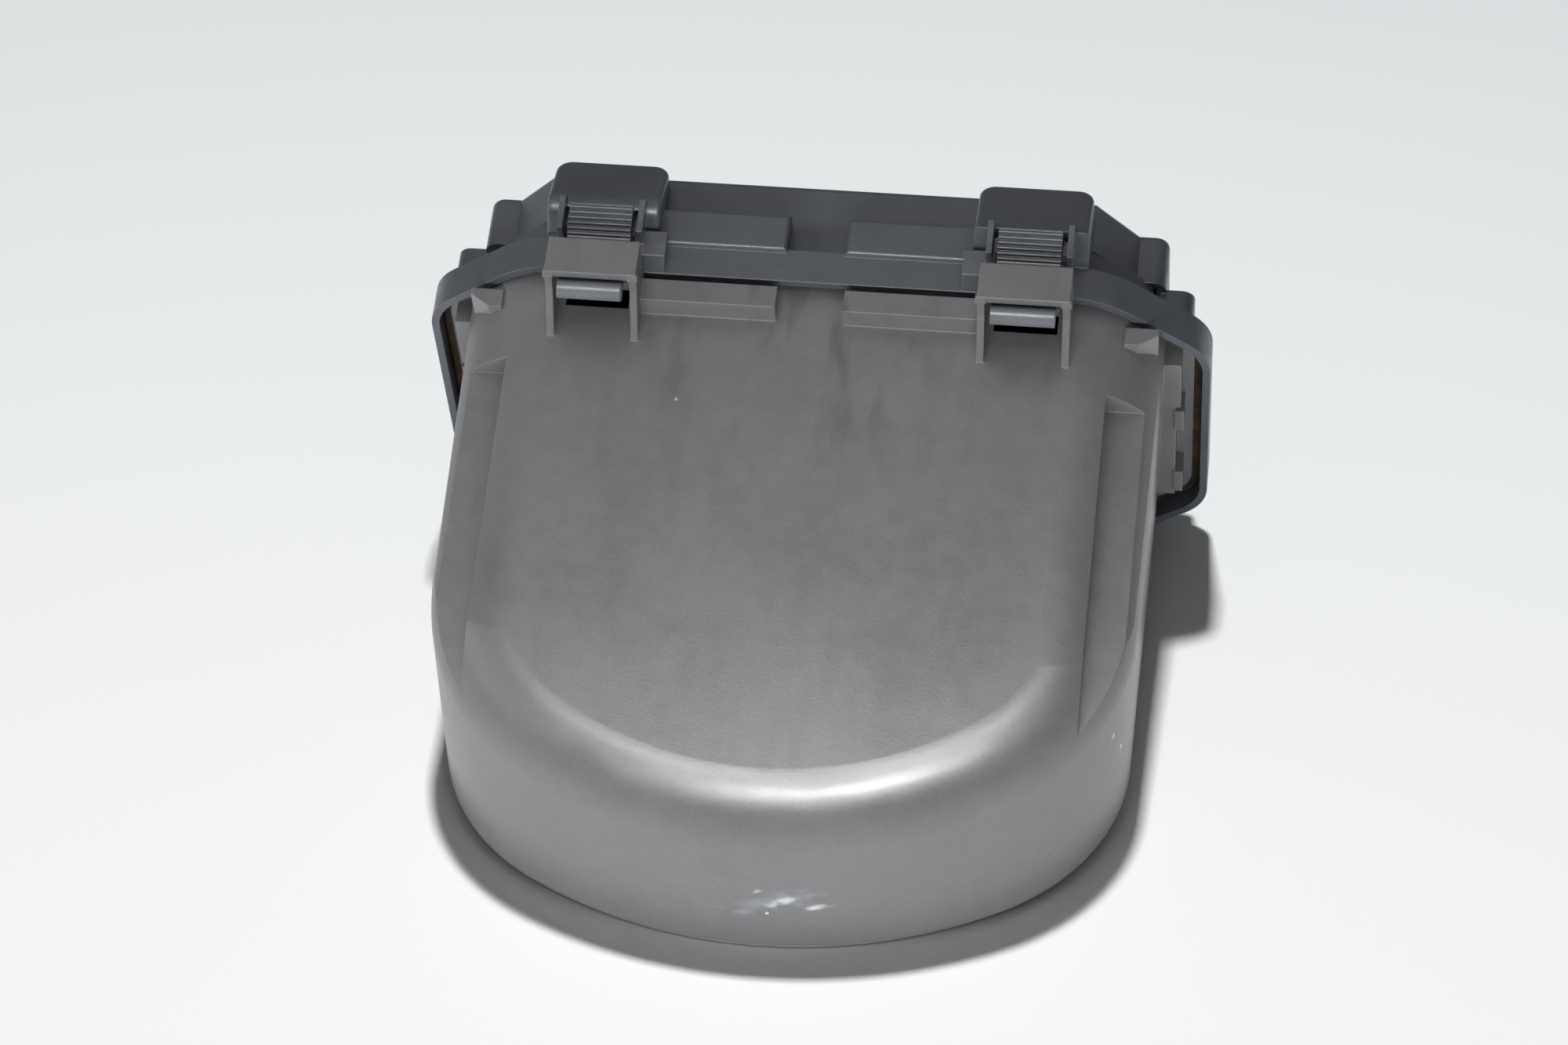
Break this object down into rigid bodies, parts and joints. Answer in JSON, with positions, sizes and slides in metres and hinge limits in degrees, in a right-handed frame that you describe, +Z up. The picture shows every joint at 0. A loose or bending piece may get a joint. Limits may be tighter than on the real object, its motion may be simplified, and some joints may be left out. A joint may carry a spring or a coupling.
{
  "type": "plastic housing",
  "caption": "Moulded plastic housing: deep D-plan shell with a sloping flat top, closed at its open mouth by a stepped cover held by ribbed snap fingers.",
  "frame": {"origin": "middle of the bounding box at its underside, on the surface it stands on", "axes": "+X across the mouth, the longest side; +Y from the rounded end towards the cover; +Z up"},
  "size_m": [0.2, 0.1943, 0.1176],
  "materials": {
    "shell_plastic": "fine moulded grain, satin",
    "cover_plastic": "smooth moulded, soft sheen",
    "seal_rubber": "matt"
  },
  "bodies": {
    "housing": {"body_shell": "shell_plastic", "mouth_gasket": "seal_rubber"},
    "cover": {"end_cover": "cover_plastic"},
    "finger_left": {"snap_finger_left": "cover_plastic"},
    "finger_right": {"snap_finger_right": "cover_plastic"}
  },
  "joints": [
    {"name": "cover_slide", "type": "slide", "parent": "housing", "child": "cover", "axis": [0, 0.9563, 0.2924], "range_m": [0, 0.016]},
    {"name": "finger_left_flex", "type": "hinge", "parent": "cover", "child": "finger_left", "pos_m": [-0.054, 0.04701, 0.11255], "axis": [1, 0, 0], "range_deg": [0, 11.5]},
    {"name": "finger_right_flex", "type": "hinge", "parent": "cover", "child": "finger_right", "pos_m": [0.054, 0.04701, 0.11255], "axis": [1, 0, 0], "range_deg": [0, 11.5]}
  ],
  "couplings": [
    {"joint": "finger_left_flex", "follows": "cover_slide", "rad_per_m": 12.3},
    {"joint": "finger_right_flex", "follows": "cover_slide", "rad_per_m": 12.3}
  ]
}
